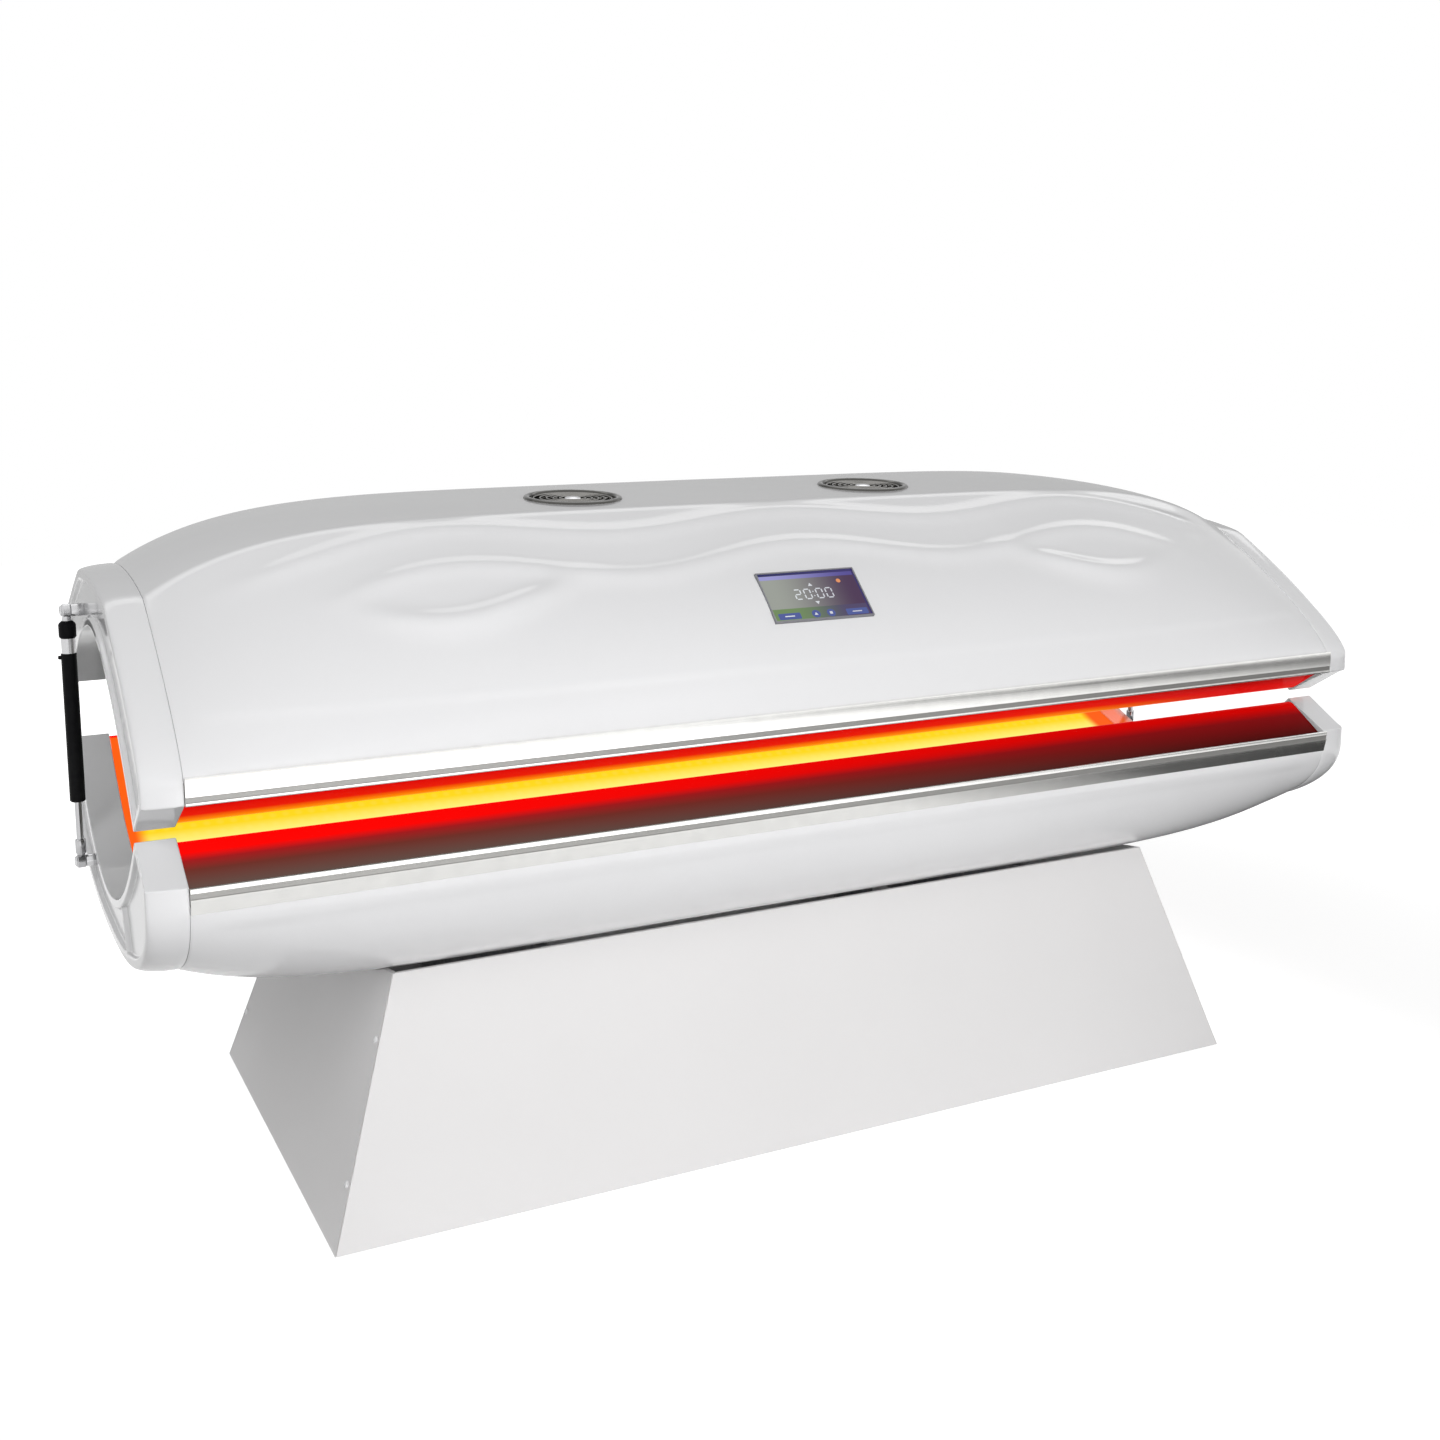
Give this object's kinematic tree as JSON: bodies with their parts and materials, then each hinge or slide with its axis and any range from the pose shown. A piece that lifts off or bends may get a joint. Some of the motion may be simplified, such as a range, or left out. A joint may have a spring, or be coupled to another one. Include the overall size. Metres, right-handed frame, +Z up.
{
  "type": "led light therapy bed",
  "caption": "Clamshell light therapy bed: a lying tunnel lined with red acrylic on a tapered pedestal, with a lifting canopy on gas springs, roof vents and a touch screen in the front slope.",
  "frame": {"origin": "on the floor under the middle of the object's box", "axes": "+X along the bed to the right end as seen from the screen side, -Y to the screen side, +Z up"},
  "size_m": [2.008, 0.8543, 0.9655],
  "materials": {
    "white_gloss": "glossy white moulded shell",
    "white_panel": "satin white moulded panel",
    "dark_steel": "dark paint on steel",
    "bright_steel": "bright turned steel",
    "chrome": "polished chrome plate",
    "satin_aluminium": "satin polished aluminium",
    "bare_aluminium": "plain mill aluminium",
    "red_acrylic": "clear acrylic lit red from behind",
    "white_board": "white solder mask",
    "black_rubber": "black rubber",
    "black_plastic": "black, slightly satin",
    "black_enamel": "glossy black enamel on steel",
    "dark_glass": "dark glass over a display"
  },
  "bodies": {
    "base": {"pedestal_front_panel": "white_panel", "pedestal_rear_panel": "white_panel", "pedestal_left_panel": "white_panel", "pedestal_right_panel": "white_panel", "saddle_left": "dark_steel", "saddle_right": "dark_steel", "floor_rail_front": "dark_steel", "floor_rail_rear": "dark_steel", "foot_front_left": "black_rubber", "foot_front_right": "black_rubber", "foot_rear_left": "black_rubber", "foot_rear_right": "black_rubber", "power_supply_left": "bare_aluminium", "power_supply_right": "bare_aluminium", "power_inlet": "black_plastic", "base_shell": "white_gloss", "base_end_cap_left": "white_gloss", "base_end_cap_right": "white_gloss", "base_front_trim": "satin_aluminium", "base_rear_trim": "satin_aluminium", "base_acrylic": "red_acrylic", "base_led_tray": "bare_aluminium", "base_led_board_1": "white_board", "base_led_board_2": "white_board", "base_led_board_3": "white_board", "hinge_base_leaf_left": "bare_aluminium", "hinge_base_leaf_right": "bare_aluminium", "hinge_pin_left": "bright_steel", "hinge_pin_right": "bright_steel", "strut_base_stud_left": "bright_steel", "strut_base_stud_right": "bright_steel"},
    "canopy": {"canopy_shell": "white_gloss", "canopy_end_cap_left": "white_gloss", "canopy_end_cap_right": "white_gloss", "canopy_front_trim": "satin_aluminium", "canopy_rear_trim": "satin_aluminium", "canopy_acrylic": "red_acrylic", "canopy_led_tray": "bare_aluminium", "canopy_led_board_1": "white_board", "canopy_led_board_2": "white_board", "canopy_led_board_3": "white_board", "hinge_canopy_leaf_left": "bare_aluminium", "hinge_canopy_leaf_right": "bare_aluminium", "strut_canopy_stud_left": "bright_steel", "strut_canopy_stud_right": "bright_steel", "vent_grille_left": "chrome", "vent_grille_right": "chrome", "fan_frame_left": "black_plastic", "fan_frame_right": "black_plastic", "screen_bezel": "black_plastic", "screen_panel": "dark_glass", "control_board": "white_board"},
    "strut_rod_left": {"strut_rod_left": "chrome"},
    "strut_rod_right": {"strut_rod_right": "chrome"},
    "strut_tube_left": {"strut_tube_left": "black_enamel"},
    "strut_tube_right": {"strut_tube_right": "black_enamel"},
    "fan_rotor_left": {"fan_rotor_left": "black_plastic"},
    "fan_rotor_right": {"fan_rotor_right": "black_plastic"},
    "power_rocker": {"power_rocker": "black_plastic"}
  },
  "joints": [
    {"name": "canopy_hinge", "type": "hinge", "parent": "base", "child": "canopy", "pos_m": [0, 0.41615, 0.63055], "axis": [-1, 0, 0], "range_deg": [0, 40]},
    {"name": "strut_rod_left_turn", "type": "hinge", "parent": "base", "child": "strut_rod_left", "pos_m": [-0.993, 0.14785, 0.4329], "axis": [-1, 0, 0], "range_deg": [0, 19.4]},
    {"name": "strut_rod_right_turn", "type": "hinge", "parent": "base", "child": "strut_rod_right", "pos_m": [0.993, 0.14785, 0.4329], "axis": [-1, 0, 0], "range_deg": [0, 19.4]},
    {"name": "strut_tube_left_turn", "type": "hinge", "parent": "canopy", "child": "strut_tube_left", "pos_m": [-0.993, 0.14785, 0.80944], "axis": [-1, 0, 0], "range_deg": [-20.8, 0]},
    {"name": "strut_tube_right_turn", "type": "hinge", "parent": "canopy", "child": "strut_tube_right", "pos_m": [0.993, 0.14785, 0.80944], "axis": [-1, 0, 0], "range_deg": [-20.8, 0]},
    {"name": "fan_left_spin", "type": "hinge", "parent": "canopy", "child": "fan_rotor_left", "pos_m": [-0.2745, -0.03701, 0.90232], "axis": [0, -0.056, 0.9984], "continuous": true},
    {"name": "fan_right_spin", "type": "hinge", "parent": "canopy", "child": "fan_rotor_right", "pos_m": [0.2445, -0.03702, 0.90233], "axis": [0, -0.0559, 0.9984], "continuous": true},
    {"name": "power_rocker_tip", "type": "hinge", "parent": "base", "child": "power_rocker", "pos_m": [0.3355, 0.33539, 0.09428], "axis": [1, 0, 0], "range_deg": [0, 10]}
  ],
  "couplings": [
    {"joint": "strut_rod_left_turn", "follows": "canopy_hinge", "ratio": 0.482},
    {"joint": "strut_rod_right_turn", "follows": "canopy_hinge", "ratio": 0.482},
    {"joint": "strut_tube_left_turn", "follows": "canopy_hinge", "ratio": -0.518},
    {"joint": "strut_tube_right_turn", "follows": "canopy_hinge", "ratio": -0.518}
  ]
}
